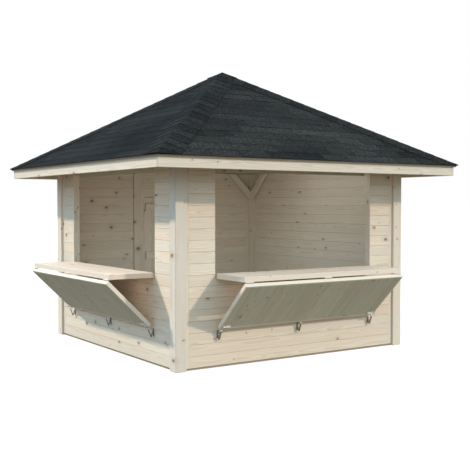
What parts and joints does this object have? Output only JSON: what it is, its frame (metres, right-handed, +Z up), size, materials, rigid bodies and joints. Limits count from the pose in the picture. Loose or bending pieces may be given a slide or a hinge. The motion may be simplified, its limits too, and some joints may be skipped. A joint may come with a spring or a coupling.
{
  "type": "garden kiosk",
  "caption": "Square spruce garden kiosk with a pyramid shingle roof, serving hatches whose counters and flaps fold up to close the openings, and a boarded back door.",
  "frame": {"origin": "on the ground at the centre of the plan of the corner posts", "axes": "+Z up, front wall towards -Y, left wall towards -X, back door towards +Y"},
  "size_m": [3.8923, 3.8923, 3.1511],
  "materials": {
    "planed_spruce": "planed natural spruce boards with small knots, uncoated",
    "sawn_spruce": "sawn natural spruce, uncoated",
    "bitumen_shingle": "slate-coloured mineral granules on bitumen shingles",
    "galvanised_steel": "bright galvanised steel"
  },
  "bodies": {
    "house": {"ground_sleepers": "sawn_spruce", "floor_joists": "sawn_spruce", "floor": "sawn_spruce", "corner_posts": "planed_spruce", "front_apron": "planed_spruce", "front_left_panel": "planed_spruce", "front_right_panel": "planed_spruce", "left_apron": "planed_spruce", "left_front_panel": "planed_spruce", "left_back_panel": "planed_spruce", "right_wall": "planed_spruce", "back_left_wall": "planed_spruce", "back_right_wall": "planed_spruce", "hatch_studs": "planed_spruce", "door_posts": "planed_spruce", "over_door_panel": "planed_spruce", "threshold": "planed_spruce", "front_back_beams": "planed_spruce", "side_beams": "planed_spruce", "knee_braces": "planed_spruce", "hip_rafters": "sawn_spruce", "jack_rafters": "sawn_spruce", "front_back_fascia": "planed_spruce", "side_fascia": "planed_spruce", "front_roof_boards": "sawn_spruce", "left_roof_boards": "sawn_spruce", "back_roof_boards": "sawn_spruce", "right_roof_boards": "sawn_spruce", "front_shingles": "bitumen_shingle", "left_shingles": "bitumen_shingle", "back_shingles": "bitumen_shingle", "right_shingles": "bitumen_shingle", "sill_hinges": "galvanised_steel", "flap_hooks": "galvanised_steel", "door_strap_plates": "galvanised_steel"},
    "front_counter_unit": {"front_counter": "planed_spruce", "front_counter_hinges": "galvanised_steel"},
    "front_flap_unit": {"front_flap": "planed_spruce", "front_flap_hardware": "galvanised_steel"},
    "left_counter_unit": {"left_counter": "planed_spruce", "left_counter_hinges": "galvanised_steel"},
    "left_flap_unit": {"left_flap": "planed_spruce", "left_flap_hardware": "galvanised_steel"},
    "door_unit": {"door_leaf": "planed_spruce", "door_ledges": "planed_spruce", "door_straps": "galvanised_steel", "door_handle": "galvanised_steel"}
  },
  "joints": [
    {"name": "front_counter_hinge", "type": "hinge", "parent": "house", "child": "front_counter_unit", "pos_m": [0, -1.453, 0.87], "axis": [-1, 0, 0], "range_deg": [0, 90]},
    {"name": "front_flap_hinge", "type": "hinge", "parent": "front_counter_unit", "child": "front_flap_unit", "pos_m": [0, -1.949, 0.87], "axis": [-1, 0, 0], "range_deg": [0, 135.72]},
    {"name": "left_counter_hinge", "type": "hinge", "parent": "house", "child": "left_counter_unit", "pos_m": [-1.453, 0, 0.87], "axis": [0, 1, 0], "range_deg": [0, 90]},
    {"name": "left_flap_hinge", "type": "hinge", "parent": "left_counter_unit", "child": "left_flap_unit", "pos_m": [-1.949, 0, 0.87], "axis": [0, 1, 0], "range_deg": [0, 135.72]},
    {"name": "door_hinge", "type": "hinge", "parent": "house", "child": "door_unit", "pos_m": [-0.309, 1.45685, 0.9], "axis": [0, 0, 1], "range_deg": [0, 100]}
  ],
  "couplings": [
    {"joint": "front_flap_hinge", "follows": "front_counter_hinge", "ratio": 1.5078},
    {"joint": "left_flap_hinge", "follows": "left_counter_hinge", "ratio": 1.5078}
  ]
}
